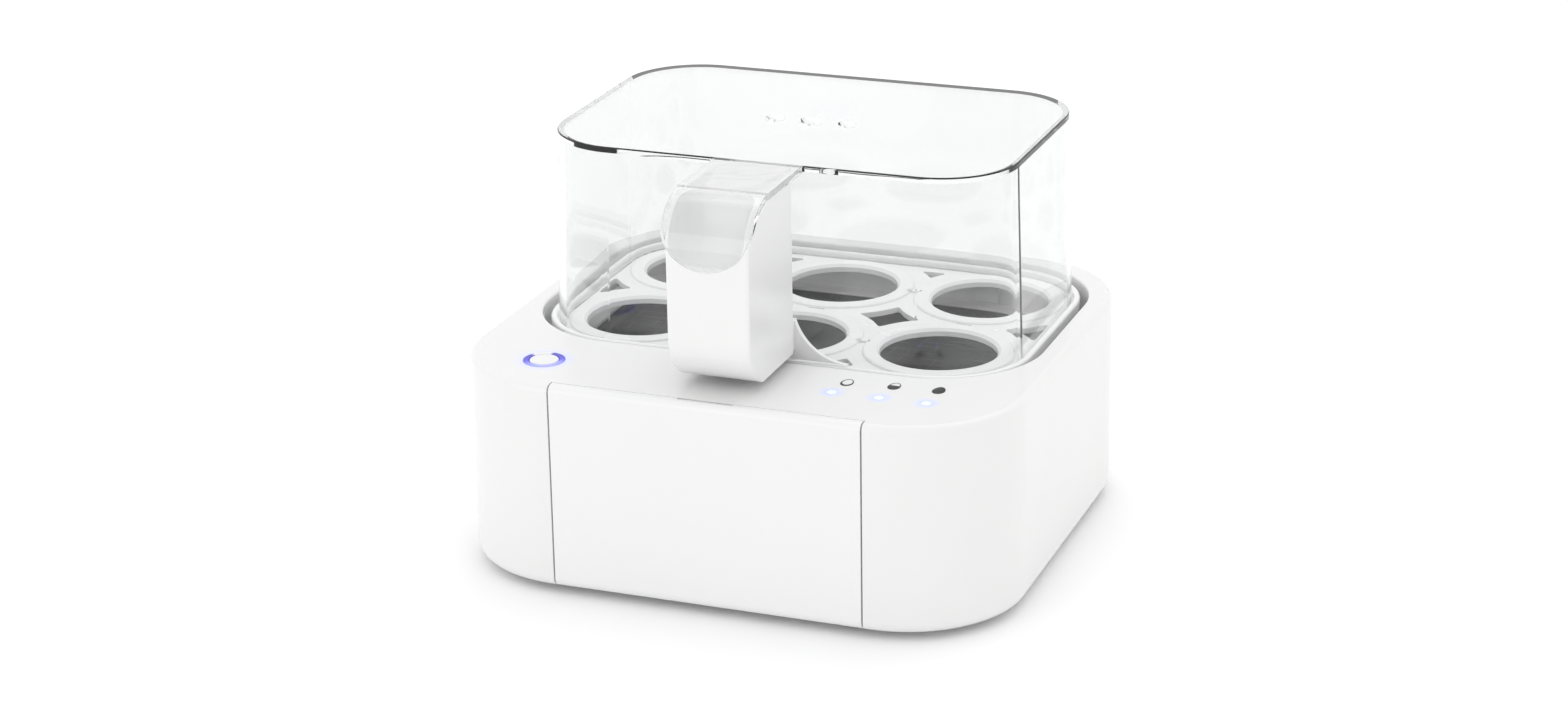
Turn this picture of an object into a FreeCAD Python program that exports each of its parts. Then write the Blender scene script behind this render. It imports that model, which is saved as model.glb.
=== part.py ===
"""Six-egg cooker: housing with a heated water dish, lift-out egg tray and clear lid with a handle.

Millimetres. +X right, +Y to the back, +Z up. The origin is the centre of the footprint on the table.
Every function below makes one separate piece (or one group of identical pieces) of the appliance.
"""
import FreeCAD, Part
import math
import os

V = FreeCAD.Vector

# ---- housing ----
FOOT_H = 3.0
HOUSING_W = 200.0
HOUSING_D = 184.0
HOUSING_H = 74.0
CORNER_R = 42.0
WALL = 2.5
TOP_EDGE_R = 2.5
BOTTOM_EDGE_R = 3.5
SKIRT_WALL = 5.5
SKIRT_H = 5.0
BOTTOM_Z = FOOT_H
DECK_Z = FOOT_H + HOUSING_H
DECK_UNDER = DECK_Z - WALL
FRONT_Y = -HOUSING_D / 2
BACK_Y = HOUSING_D / 2

# ---- front panel ----
PANEL_W = 111.4
PANEL_T = 2.5
PANEL_GAP = 0.6
PANEL_LIP = 4.0
PANEL_NOTCH_W = 20.0
PANEL_NOTCH_D = 0.9

# ---- well, tray and lid share one centre line, towards the back ----
WELL_Y = 19.5
OPENING_W = 185.0
OPENING_D = 128.0
OPENING_R = 38.0
LINER_WALL = 2.0
LINER_FLANGE = 2.2
LEDGE_Z = 60.3
LEDGE_T = 2.0
LEDGE_W = 168.0
LEDGE_D = 106.0
LEDGE_R = 27.0
TRAY_REST_Z = 71.9

# ---- heated dish ----
DISH_FLANGE_W = 183.0
DISH_FLANGE_D = 115.0
DISH_FLANGE_R = 34.0
DISH_T = 1.5
SEAL_T = 1.0
DISH_FLANGE_Z = LEDGE_Z + SEAL_T
DISH_FLOOR_Z = 57.0
DISH_UNDER_Z = DISH_FLOOR_Z - DISH_T

# ---- clamp bars and heating element under the dish ----
STUD_X = 66.0
BAR_Z = DISH_UNDER_Z - 1.5
BAR_T = 1.5
ELEMENT_R = 3.3
ELEMENT_Z = DISH_UNDER_Z - ELEMENT_R - 0.05
ELEMENT_W = 104.0
ELEMENT_D = 62.0
ELEMENT_BEND = 24.0
PIN_X = 14.0
PIN_LOW = 36.0

# ---- egg tray ----
TRAY_W = 178.0
TRAY_D = 121.0
TRAY_R = 32.5
TRAY_Z = 71.9
TRAY_T = 2.0
TRAY_TOP = TRAY_Z + TRAY_T
LIP_TOP = 76.0
LIP_T = 2.4
BAND_W = 165.0
BAND_D = 103.0
BAND_R = 27.0
EGG_R = 20.5
EGG_DX = 55.6
EGG_DY = 56.0
RIDGE_R = 26.6
RIDGE_H = 0.8
RING_R = 32.4

# ---- lid ----
LID_FOOT_W = 172.0
LID_FOOT_D = 115.6
LID_FOOT_R = 29.5
LID_TOP_W = 168.2
LID_TOP_D = 111.8
LID_TOP_R = 27.6
LID_TOP_Z = 145.1
LID_WALL = 2.4
LID_ROOF_T = 2.5
VENT_Y = 16.0
VENT_DX = 13.5
VENT_R = 3.4
VENT_MID_R = 4.4

# ---- handle and the lid's tongue over it ----
HANDLE_W = 29.4
HANDLE_FRONT = -84.6
HANDLE_REAR = -42.8
HANDLE_LOW = 80.2
HANDLE_TOP = LID_TOP_Z - LID_ROOF_T
NOSE_R = 16.4
NOSE_Y = HANDLE_FRONT + NOSE_R
NOSE_Z = HANDLE_TOP - NOSE_R
TONGUE_W = 32.0
TONGUE_TIP_Z = 121.5
SCOOP_R = 16.5
SCOOP_W = 26.8
SCOOP_Y = -83.5
SCOOP_Z = 139.5
SCOOP_EDGE_R = 8.0
NECK_W = 24.0
WEB_T = 1.6
WEB_LOW_W = 66.0
WEB_LOW_Z = 76.7
WEB_HIGH_Z = 91.0
HANDLE_SCREW_ZS = (98.0, 126.0)

# ---- controls on the deck ----
BUTTON_X = -67.6
BUTTON_Y = -68.5
RING_OUT_R = 7.3
RING_IN_R = 5.4
BUTTON_R = 5.1
BUTTON_TRAVEL = 1.0
RING_LOW = 69.0
CAP_TOP = DECK_Z + 0.3
CAP_FLANGE_T = 1.2
CAP_FLANGE_TOP = RING_LOW - 0.1
CAP_FLANGE_LOW = CAP_FLANGE_TOP - CAP_FLANGE_T
LAMP_Y = -66.5
LAMP_XS = (36.9, 53.5, 70.1)
LAMP_NAMES = ("led_window_soft", "led_window_medium", "led_window_hard")
LAMP_R = 1.7
CLEARANCE = 0.05

# ---- control board under the deck ----
CTRL_Z = 60.0
PCB_T = 1.6
CTRL_TOP = CTRL_Z + PCB_T
CTRL_W = 164.0
CTRL_D = 26.0
CTRL_Y = -67.0
SWITCH_TOP = CTRL_TOP + 3.6
PLUNGER_TOP = CTRL_TOP + 4.6
CTRL_POSTS = ((-50.0, -76.0), (-50.0, -58.0), (22.0, -76.0), (22.0, -58.0))

# ---- power board on the base plate ----
POWER_X = -20.0
POWER_Y = 15.0
POWER_W = 96.0
POWER_D = 60.0
POWER_Z = 14.0
POWER_TOP = POWER_Z + PCB_T
POWER_POSTS = ((-62.0, -9.0), (22.0, -9.0), (-62.0, 39.0), (22.0, 39.0))

# ---- base plate, feet, screws ----
BASE_PLATE_Z = 3.4
BASE_PLATE_T = 2.5
BASE_PLATE_TOP = BASE_PLATE_Z + BASE_PLATE_T
FOOT_R = 9.0
FEET = {"foot_front_left": (-66.0, -62.0), "foot_front_right": (66.0, -62.0),
        "foot_rear_left": (-66.0, 62.0), "foot_rear_right": (66.0, 62.0)}
BOSSES = ((-90.5, -38.0), (90.5, -38.0), (-90.5, 38.0), (90.5, 38.0))
BOSS_R = 4.5
BOSS_TOP = 20.0

# ---- rear cable gland ----
GLAND_X = 52.0
GLAND_Z = 22.0
GLAND_BORE_R = 3.4
GLAND_BODY_R = 6.0
GLAND_FLANGE_R = 8.5
GLAND_FLANGE_T = 1.3
GLAND_LENGTH = 16.0


def rounded_wire(width, depth, radius, z, y_mid=0.0, x_mid=0.0):
    """Closed rounded rectangle in a horizontal plane."""
    hx, hy = width / 2 - radius, depth / 2 - radius
    corners = ((hx, -hy, -90), (hx, hy, 0), (-hx, hy, 90), (-hx, -hy, 180))
    arcs = []
    for cx, cy, start in corners:
        points = []
        for step in (0, 45, 90):
            a = math.radians(start + step)
            points.append(V(x_mid + cx + radius * math.cos(a), y_mid + cy + radius * math.sin(a), z))
        arcs.append(points)
    edges = []
    for i, points in enumerate(arcs):
        edges.append(Part.Arc(*points).toShape())
        following = arcs[(i + 1) % 4][0]
        if points[2].distanceToPoint(following) > 1e-6:
            edges.append(Part.LineSegment(points[2], following).toShape())
    return Part.Wire(edges)


def rounded_prism(width, depth, radius, low, high, y_mid=0.0, x_mid=0.0):
    """Upright rounded-rectangle block."""
    face = Part.Face(rounded_wire(width, depth, radius, low, y_mid, x_mid))
    return face.extrude(V(0, 0, high - low))


def rounded_ring(width, depth, radius, thickness, low, high, y_mid):
    """Upright rounded-rectangle band with the wall inside the given outline."""
    outer = rounded_prism(width, depth, radius, low, high, y_mid)
    inner = rounded_prism(width - 2 * thickness, depth - 2 * thickness, radius - thickness,
                          low - 1, high + 1, y_mid)
    return outer.cut(inner)


def box(x0, x1, y0, y1, z0, z1):
    return Part.makeBox(x1 - x0, y1 - y0, z1 - z0, V(x0, y0, z0))


def cylinder(radius, x, y, z0, z1):
    return Part.makeCylinder(radius, z1 - z0, V(x, y, z0))


def group(solids):
    """Identical separate pieces that share one node."""
    return Part.makeCompound(solids)


def edges_at(shape, z):
    """Edges that lie in the horizontal plane z."""
    return [e for e in shape.Edges
            if abs(e.BoundBox.ZMin - z) < 1e-4 and abs(e.BoundBox.ZMax - z) < 1e-4]


def upright_edges(shape, test):
    """Straight vertical edges whose midpoint passes the test."""
    found = []
    for e in shape.Edges:
        b = e.BoundBox
        if b.XLength < 1e-4 and b.YLength < 1e-4 and b.ZLength > 1 and test(b.Center):
            found.append(e)
    return found


def profile_in_yz(points, half_width):
    """Extrude a closed chain of ("line"|"arc") steps drawn in the YZ plane along X."""
    edges = []
    at = V(-half_width, *points[0])
    start = at
    for step in points[1:]:
        if len(step) == 2:
            to = V(-half_width, *step)
            edges.append(Part.LineSegment(at, to).toShape())
        else:
            to = V(-half_width, *step[2:])
            edges.append(Part.Arc(at, V(-half_width, *step[:2]), to).toShape())
        at = to
    edges.append(Part.LineSegment(at, start).toShape())
    return Part.Face(Part.Wire(edges)).extrude(V(2 * half_width, 0, 0))


def hex_nut(across_flats, x, y, z0, z1, hole_r):
    radius = across_flats / math.sqrt(3)
    points = []
    for i in range(7):
        a = math.radians(60 * i)
        points.append(V(x + radius * math.cos(a), y + radius * math.sin(a), z0))
    body = Part.Face(Part.makePolygon(points)).extrude(V(0, 0, z1 - z0))
    return body.cut(cylinder(hole_r, x, y, z0 - 1, z1 + 1))


def pan_screw(x, y, head_z, length, shank_r, head_r, head_t):
    """Cross-recess pan screw driven upwards from below; head_z is the underside of its head."""
    head = cylinder(head_r, x, y, head_z, head_z + head_t)
    head = head.makeFillet(head_t * 0.45, edges_at(head, head_z))
    shank = cylinder(shank_r, x, y, head_z + head_t, head_z + head_t + length)
    screw = head.fuse(shank)
    reach = head_r * 0.55
    slot_a = box(x - reach, x + reach, y - 0.3, y + 0.3, head_z - 1, head_z + head_t * 0.5)
    slot_b = box(x - 0.3, x + 0.3, y - reach, y + reach, head_z - 1, head_z + head_t * 0.5)
    return screw.cut(slot_a.fuse(slot_b)).removeSplitter()


def egg_centres():
    return [(i * EGG_DX, WELL_Y + j * EGG_DY / 2) for i in (-1, 0, 1) for j in (-1, 1)]


# ---------------------------------------------------------------- housing
def housing_outer():
    solid = rounded_prism(HOUSING_W, HOUSING_D, CORNER_R, BOTTOM_Z, DECK_Z)
    solid = solid.makeFillet(TOP_EDGE_R, edges_at(solid, DECK_Z))
    return solid.makeFillet(BOTTOM_EDGE_R, edges_at(solid, BOTTOM_Z))


def panel_space(gap):
    """Room that the front panel takes out of the housing, grown by a gap."""
    half = PANEL_W / 2 + gap
    plate = box(-half, half, FRONT_Y - 1, FRONT_Y + PANEL_T + gap * 0.2, BOTTOM_Z - 1, DECK_Z + 1)
    lip = box(-half, half, FRONT_Y - 1, FRONT_Y + PANEL_LIP + gap * 0.5,
              DECK_UNDER - gap * 0.2, DECK_Z + 1)
    return plate.fuse(lip).removeSplitter()


def housing_shell():
    shell = housing_outer()
    cavity = rounded_prism(HOUSING_W - 2 * WALL, HOUSING_D - 2 * WALL, CORNER_R - WALL,
                           BOTTOM_Z + SKIRT_H, DECK_UNDER)
    backing = PANEL_W / 2 + 3
    cavity = cavity.cut(box(-backing, backing, FRONT_Y, FRONT_Y + 2 * PANEL_T + 0.3, 0, DECK_Z))
    cavity = cavity.cut(box(-backing, backing, FRONT_Y, FRONT_Y + PANEL_LIP + 3,
                            DECK_UNDER - WALL, DECK_Z))
    mouth = rounded_prism(HOUSING_W - 2 * SKIRT_WALL, HOUSING_D - 2 * SKIRT_WALL,
                          CORNER_R - SKIRT_WALL, BOTTOM_Z - 1, BOTTOM_Z + SKIRT_H + 0.01)
    shell = shell.cut(cavity.fuse(mouth))
    opening = rounded_prism(OPENING_W, OPENING_D, OPENING_R, DECK_UNDER - 1, DECK_Z + 1, WELL_Y)
    shell = shell.cut(opening)
    rim = [e for e in edges_at(shell, DECK_Z)
           if abs(e.BoundBox.Center.x) < OPENING_W / 2 + 0.1
           and e.BoundBox.YMin > WELL_Y - OPENING_D / 2 - 0.1
           and e.BoundBox.YMax < WELL_Y + OPENING_D / 2 + 0.1]
    shell = shell.makeFillet(0.8, rim)
    shell = shell.cut(panel_space(PANEL_GAP))
    for x, y in BOSSES:
        side = math.copysign(1, x)
        boss = cylinder(BOSS_R, x, y, BASE_PLATE_TOP + 0.1, BOSS_TOP)
        wall_x = side * (HOUSING_W / 2 - WALL + 0.5)
        rib = box(min(x, wall_x), max(x, wall_x), y - 1.5, y + 1.5, BASE_PLATE_TOP + 0.1, BOSS_TOP)
        shell = shell.fuse(boss.fuse(rib))
        shell = shell.cut(cylinder(1.3, x, y, BASE_PLATE_TOP - 1, BOSS_TOP - 2))
    for x, y in CTRL_POSTS:
        shell = shell.fuse(cylinder(3.0, x, y, CTRL_TOP, DECK_UNDER + 0.2))
        shell = shell.cut(cylinder(1.05, x, y, CTRL_TOP - 1, CTRL_TOP + 8))
    shell = shell.cut(cylinder(RING_OUT_R + CLEARANCE, BUTTON_X, BUTTON_Y, DECK_UNDER - 1, DECK_Z + 1))
    for x in LAMP_XS:
        shell = shell.cut(cylinder(LAMP_R + CLEARANCE, x, LAMP_Y, DECK_UNDER - 1, DECK_Z + 1))
    pad = Part.makeCylinder(GLAND_FLANGE_R + 2, WALL + 2, V(GLAND_X, BACK_Y - WALL - 2, GLAND_Z), V(0, 1, 0))
    shell = shell.fuse(pad)
    seat = Part.makeCylinder(GLAND_FLANGE_R + 0.2, GLAND_FLANGE_T + 0.2 + 1,
                             V(GLAND_X, BACK_Y - GLAND_FLANGE_T - 0.2, GLAND_Z), V(0, 1, 0))
    hole = Part.makeCylinder(GLAND_BODY_R + 0.1, 20, V(GLAND_X, BACK_Y - 15, GLAND_Z), V(0, 1, 0))
    return shell.cut(seat).cut(hole).removeSplitter()


def front_panel():
    """Glossy plate between the two front grooves; its top wraps a few millimetres over the deck."""
    half = PANEL_W / 2
    plate = box(-half, half, FRONT_Y - 1, FRONT_Y + PANEL_T, BOTTOM_Z + 1, DECK_Z + 1)
    lip = box(-half, half, FRONT_Y - 1, FRONT_Y + PANEL_LIP, DECK_UNDER, DECK_Z + 1)
    panel = housing_outer().common(plate.fuse(lip))
    notch = PANEL_NOTCH_W / 2
    panel = panel.cut(box(-notch, notch, FRONT_Y + PANEL_LIP - PANEL_NOTCH_D, FRONT_Y + PANEL_LIP + 1,
                          DECK_UNDER - 1, DECK_Z + 1))
    return panel.removeSplitter()


def base_plate():
    plate = rounded_prism(HOUSING_W - 2 * SKIRT_WALL - 0.6, HOUSING_D - 2 * SKIRT_WALL - 0.6,
                          CORNER_R - SKIRT_WALL, BASE_PLATE_Z, BASE_PLATE_TOP)
    for x, y in BOSSES:
        plate = plate.cut(cylinder(1.8, x, y, 0, 10))
        plate = plate.cut(cylinder(3.2, x, y, 0, BASE_PLATE_Z + 1.4))
    for x, y in FEET.values():
        plate = plate.cut(cylinder(4.1, x, y, 0, 10))
    for row in range(5):
        for side in (-1, 1):
            x = side * 30.0
            y = -24.0 + 12.0 * row
            slot = rounded_prism(26, 3, 1.49, BASE_PLATE_Z - 1, BASE_PLATE_TOP + 1, y, x)
            plate = plate.cut(slot)
    for x, y in POWER_POSTS:
        post = cylinder(3.0, x, y, BASE_PLATE_TOP - 0.2, POWER_Z)
        plate = plate.fuse(post).cut(cylinder(1.05, x, y, BASE_PLATE_TOP + 1, POWER_Z + 1))
    return plate.removeSplitter()


def foot(x, y):
    pad = cylinder(FOOT_R, x, y, 0, BASE_PLATE_Z)
    pad = pad.makeFillet(0.8, edges_at(pad, 0))
    plug = cylinder(3.9, x, y, BASE_PLATE_Z - 0.1, BASE_PLATE_TOP + 1.5)
    return pad.fuse(plug).removeSplitter()


def base_screws():
    return group([pan_screw(x, y, BASE_PLATE_Z - 0.2, 11, 1.25, 2.9, 1.6) for x, y in BOSSES])


# ---------------------------------------------------------------- well and heater
def well_liner():
    """White wall of the well: flange under the deck, ledge for the dish, four rests for the tray."""
    inner_w = OPENING_W + 0.2
    inner_d = OPENING_D + 0.2
    inner_r = OPENING_R + 0.1
    outer_w = inner_w + 2 * LINER_WALL
    outer_d = inner_d + 2 * LINER_WALL
    low = LEDGE_Z - LEDGE_T
    body = rounded_prism(outer_w, outer_d, inner_r + LINER_WALL, low, DECK_UNDER, WELL_Y)
    body = body.cut(rounded_prism(inner_w, inner_d, inner_r, LEDGE_Z, DECK_UNDER + 1, WELL_Y))
    body = body.cut(rounded_prism(LEDGE_W, LEDGE_D, LEDGE_R, low - 1, DECK_UNDER + 1, WELL_Y))
    flange_front = box(-OPENING_W / 2 + 20, OPENING_W / 2 - 20, WELL_Y - outer_d / 2 - 6,
                       WELL_Y - outer_d / 2 + 0.5, DECK_UNDER - LINER_FLANGE, DECK_UNDER)
    body = body.fuse(flange_front)
    for x in (-48.0, 48.0):
        for side in (-1, 1):
            wall_y = WELL_Y + side * (inner_d / 2 + 0.5)
            tip_y = WELL_Y + side * (TRAY_D / 2 - 2.5)
            rest = box(x - 6, x + 6, min(wall_y, tip_y), max(wall_y, tip_y), LEDGE_Z - 0.2, TRAY_REST_Z)
            body = body.fuse(rest)
    return body.removeSplitter()


def dish_seal():
    return rounded_ring(DISH_FLANGE_W - 1, DISH_FLANGE_D - 1, DISH_FLANGE_R - 0.5, 3.5,
                        LEDGE_Z, DISH_FLANGE_Z, WELL_Y)


def heating_dish():
    """Pressed dish with a non-stick coating; its flange lies on the seal."""
    bowl_w = LEDGE_W - 1.0
    bowl_d = LEDGE_D - 1.0
    bowl_r = LEDGE_R - 0.5
    top = DISH_FLANGE_Z + 1.2
    flange = rounded_prism(DISH_FLANGE_W, DISH_FLANGE_D, DISH_FLANGE_R, DISH_FLANGE_Z, top, WELL_Y)
    cup = rounded_prism(bowl_w, bowl_d, bowl_r, DISH_UNDER_Z, top, WELL_Y)
    cup = cup.makeFillet(3.5, edges_at(cup, DISH_UNDER_Z))
    hollow = rounded_prism(bowl_w - 2 * DISH_T, bowl_d - 2 * DISH_T, bowl_r - DISH_T,
                           DISH_FLOOR_Z, top + 1, WELL_Y)
    hollow = hollow.makeFillet(2.5, edges_at(hollow, DISH_FLOOR_Z))
    dish = flange.fuse(cup).cut(hollow)
    return dish.removeSplitter()


def dish_studs():
    studs = []
    for x in (-STUD_X, STUD_X):
        studs.append(cylinder(2.0, x, WELL_Y, BAR_Z - 8, DISH_UNDER_Z))
    return group(studs)


def clamp_bar(x):
    """Steel bar under the dish whose turned-up ends bear on the underside of the liner's ledge."""
    half = LEDGE_D / 2 + 7
    top = LEDGE_Z - LEDGE_T
    bar = box(x - 6, x + 6, WELL_Y - half, WELL_Y + half, BAR_Z - BAR_T, BAR_Z)
    for side in (-1, 1):
        y0 = WELL_Y + side * half
        y1 = WELL_Y + side * (half - BAR_T)
        bar = bar.fuse(box(x - 6, x + 6, min(y0, y1), max(y0, y1), BAR_Z - BAR_T, top))
    return bar.cut(cylinder(2.2, x, WELL_Y, BAR_Z - 5, BAR_Z + 5)).removeSplitter()


def clamp_nuts():
    nuts = []
    for x in (-STUD_X, STUD_X):
        nuts.append(hex_nut(7.0, x, WELL_Y, BAR_Z - BAR_T - 3.2, BAR_Z - BAR_T, 2.05))
    return group(nuts)


def heater_element():
    """Tubular element: one loop under the dish with both cold ends turned down at the front."""
    hx = ELEMENT_W / 2
    low_y, high_y = WELL_Y - ELEMENT_D / 2, WELL_Y + ELEMENT_D / 2
    b = ELEMENT_BEND
    k = b * (1 - math.sqrt(0.5))
    drop = 8.0
    kd = drop * (1 - math.sqrt(0.5))
    z = ELEMENT_Z
    chain = [
        ("line", V(-PIN_X, low_y, PIN_LOW), V(-PIN_X, low_y, z - drop)),
        ("arc", V(-PIN_X, low_y, z - drop), V(-PIN_X - kd, low_y, z - kd), V(-PIN_X - drop, low_y, z)),
        ("line", V(-PIN_X - drop, low_y, z), V(-hx + b, low_y, z)),
        ("arc", V(-hx + b, low_y, z), V(-hx + k, low_y + k, z), V(-hx, low_y + b, z)),
        ("line", V(-hx, low_y + b, z), V(-hx, high_y - b, z)),
        ("arc", V(-hx, high_y - b, z), V(-hx + k, high_y - k, z), V(-hx + b, high_y, z)),
        ("line", V(-hx + b, high_y, z), V(hx - b, high_y, z)),
        ("arc", V(hx - b, high_y, z), V(hx - k, high_y - k, z), V(hx, high_y - b, z)),
        ("line", V(hx, high_y - b, z), V(hx, low_y + b, z)),
        ("arc", V(hx, low_y + b, z), V(hx - k, low_y + k, z), V(hx - b, low_y, z)),
        ("line", V(hx - b, low_y, z), V(PIN_X + drop, low_y, z)),
        ("arc", V(PIN_X + drop, low_y, z), V(PIN_X + kd, low_y, z - kd), V(PIN_X, low_y, z - drop)),
        ("line", V(PIN_X, low_y, z - drop), V(PIN_X, low_y, PIN_LOW)),
    ]
    edges = []
    for kind, *points in chain:
        curve = Part.LineSegment(*points) if kind == "line" else Part.Arc(*points)
        edges.append(curve.toShape())
    path = Part.Wire(edges)
    section = Part.Wire([Part.Circle(V(-PIN_X, low_y, PIN_LOW), V(0, 0, 1), ELEMENT_R).toShape()])
    return path.makePipeShell([section], True, False)


def element_insulators():
    """Ceramic ends of the element with their flat blade terminals."""
    low_y = WELL_Y - ELEMENT_D / 2
    pieces = []
    for x in (-PIN_X, PIN_X):
        bead = cylinder(ELEMENT_R, x, low_y, PIN_LOW - 5, PIN_LOW)
        blade = box(x - 2.4, x + 2.4, low_y - 0.4, low_y + 0.4, PIN_LOW - 13, PIN_LOW - 4.9)
        pieces.append(bead.fuse(blade).removeSplitter())
    return group(pieces)


def element_clips():
    """Three strap clips that hold the element against the dish."""
    clips = []
    y = WELL_Y + ELEMENT_D / 2
    for x in (-22.0, 0.0, 22.0):
        outer = Part.makeCylinder(ELEMENT_R + 1.1, 6, V(x - 3, y, ELEMENT_Z), V(1, 0, 0))
        upper = box(x - 3, x + 3, y - ELEMENT_R - 1.1, y + ELEMENT_R + 1.1, ELEMENT_Z, DISH_UNDER_Z)
        ears = box(x - 3, x + 3, y - ELEMENT_R - 6, y + ELEMENT_R + 6, DISH_UNDER_Z - 1, DISH_UNDER_Z)
        inner = Part.makeCylinder(ELEMENT_R + 0.1, 8, V(x - 4, y, ELEMENT_Z), V(1, 0, 0))
        slot = box(x - 4, x + 4, y - ELEMENT_R - 0.1, y + ELEMENT_R + 0.1, ELEMENT_Z, DISH_UNDER_Z + 1)
        proud = box(x - 4, x + 4, y - 12, y + 12, DISH_UNDER_Z, DISH_UNDER_Z + 5)
        clip = outer.fuse(upper).fuse(ears).cut(inner).cut(slot).cut(proud)
        clips.append(clip.removeSplitter())
    return group(clips)


def thermostat():
    """Snap-disc thermostat against the middle of the dish."""
    body = cylinder(8.0, 0, WELL_Y, DISH_UNDER_Z - 2.2, DISH_UNDER_Z)
    body = body.fuse(cylinder(6.6, 0, WELL_Y, DISH_UNDER_Z - 9, DISH_UNDER_Z - 2.2))
    for side in (-1, 1):
        x = side * 3.6
        body = body.fuse(box(x - 0.4, x + 0.4, WELL_Y - 3, WELL_Y + 3, DISH_UNDER_Z - 16, DISH_UNDER_Z - 9))
    return body.removeSplitter()


def thermostat_bracket():
    z1 = DISH_UNDER_Z - 2.2
    z0 = z1 - 1.0
    strap = box(-16, 16, WELL_Y - 9, WELL_Y + 9, z0, z1)
    strap = strap.cut(cylinder(6.8, 0, WELL_Y, z0 - 1, z1 + 1))
    for side in (-1, 1):
        x0, x1 = sorted((side * 15.0, side * 16.0))
        strap = strap.fuse(box(x0, x1, WELL_Y - 9, WELL_Y + 9, z0, DISH_UNDER_Z))
    return strap.removeSplitter()


def thermal_fuse():
    y = WELL_Y + 16
    z = DISH_UNDER_Z - 2.6
    can = Part.makeCylinder(2.0, 14, V(-7, y, z), V(1, 0, 0))
    lead = Part.makeCylinder(0.6, 34, V(-17, y, z), V(1, 0, 0))
    return can.fuse(lead).removeSplitter()


def fuse_clip():
    y = WELL_Y + 16
    z = DISH_UNDER_Z - 2.6
    block = box(-4, 4, y - 3.0, y + 3.0, z - 2.8, DISH_UNDER_Z)
    bore = Part.makeCylinder(2.1, 10, V(-5, y, z), V(1, 0, 0))
    return block.cut(bore).removeSplitter()


# ---------------------------------------------------------------- electronics
def control_board():
    board = box(-CTRL_W / 2, CTRL_W / 2, CTRL_Y - CTRL_D / 2, CTRL_Y + CTRL_D / 2, CTRL_Z, CTRL_TOP)
    for x, y in CTRL_POSTS:
        board = board.cut(cylinder(1.3, x, y, CTRL_Z - 1, CTRL_TOP + 1))
    return board


def control_board_screws():
    return group([pan_screw(x, y, CTRL_Z - 1.4, PCB_T + 5, 1.0, 2.4, 1.4) for x, y in CTRL_POSTS])


def control_chip():
    chip = box(-16, 2, -74, -62, CTRL_TOP, CTRL_TOP + 2.2)
    legs = []
    for i in range(8):
        x = -14.5 + 2.1 * i
        legs.append(box(x, x + 0.8, -76, -60, CTRL_TOP, CTRL_TOP + 0.5))
    for leg in legs:
        chip = chip.fuse(leg)
    return chip.removeSplitter()


def status_leds():
    """Three lamp dies with domed bodies, one under each window."""
    leds = []
    for x in LAMP_XS:
        body = cylinder(1.5, x, LAMP_Y, CTRL_TOP, CTRL_TOP + 3.0)
        collar = cylinder(1.9, x, LAMP_Y, CTRL_TOP, CTRL_TOP + 0.8)
        dome = Part.makeSphere(1.5, V(x, LAMP_Y, CTRL_TOP + 3.0))
        leds.append(body.fuse(collar).fuse(dome).removeSplitter())
    return group(leds)


def ring_leds():
    """Lamps around the switch that light the button's ring."""
    leds = []
    for angle in (45, 135, 225, 315):
        a = math.radians(angle)
        x = BUTTON_X + 7.6 * math.cos(a)
        y = BUTTON_Y + 7.6 * math.sin(a)
        base = box(x - 1.4, x + 1.4, y - 1.4, y + 1.4, CTRL_TOP, CTRL_TOP + 0.9)
        leds.append(base.fuse(cylinder(1.0, x, y, CTRL_TOP + 0.9, CTRL_TOP + 1.4)).removeSplitter())
    return group(leds)


def led_window(x):
    """Light pipe from the lamp to the deck, with a collar under the deck."""
    pipe = cylinder(LAMP_R, x, LAMP_Y, CTRL_TOP + 5.2, DECK_Z)
    collar = cylinder(LAMP_R + 1.2, x, LAMP_Y, DECK_UNDER - 1.5, DECK_UNDER)
    pipe = pipe.fuse(collar).removeSplitter()
    return pipe


def buzzer():
    body = cylinder(6.0, -30, -67, CTRL_TOP, CTRL_TOP + 7.5)
    body = body.makeFillet(0.7, edges_at(body, CTRL_TOP + 7.5))
    return body.cut(cylinder(1.0, -30, -67, CTRL_TOP + 5, CTRL_TOP + 8))


def tact_switch():
    body = box(BUTTON_X - 3, BUTTON_X + 3, BUTTON_Y - 3, BUTTON_Y + 3, CTRL_TOP, SWITCH_TOP)
    plunger = cylinder(1.7, BUTTON_X, BUTTON_Y, SWITCH_TOP, PLUNGER_TOP)
    return body.fuse(plunger).removeSplitter()


def button_ring():
    """Translucent ring around the button, held by a flange under the deck."""
    ring = cylinder(RING_OUT_R, BUTTON_X, BUTTON_Y, RING_LOW, DECK_Z + 0.15)
    ring = ring.fuse(cylinder(RING_OUT_R + 1.5, BUTTON_X, BUTTON_Y, DECK_UNDER - 1.5, DECK_UNDER))
    ring = ring.cut(cylinder(RING_IN_R, BUTTON_X, BUTTON_Y, RING_LOW - 1, DECK_Z + 1))
    return ring.removeSplitter()


def button_cap():
    """Start button: cap, stop flange under the ring, and the stem over the switch."""
    cap = cylinder(BUTTON_R, BUTTON_X, BUTTON_Y, CAP_FLANGE_TOP, CAP_TOP)
    cap = cap.makeFillet(0.5, edges_at(cap, CAP_TOP))
    dimple = Part.makeSphere(26.0, V(BUTTON_X, BUTTON_Y, CAP_TOP + 26.0 - 0.35))
    cap = cap.cut(dimple)
    flange = cylinder(6.6, BUTTON_X, BUTTON_Y, CAP_FLANGE_LOW, CAP_FLANGE_TOP)
    stem_low = PLUNGER_TOP + BUTTON_TRAVEL + 0.05
    stem = cylinder(1.8, BUTTON_X, BUTTON_Y, stem_low, CAP_FLANGE_LOW + 0.1)
    return cap.fuse(flange).fuse(stem).removeSplitter()


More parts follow.
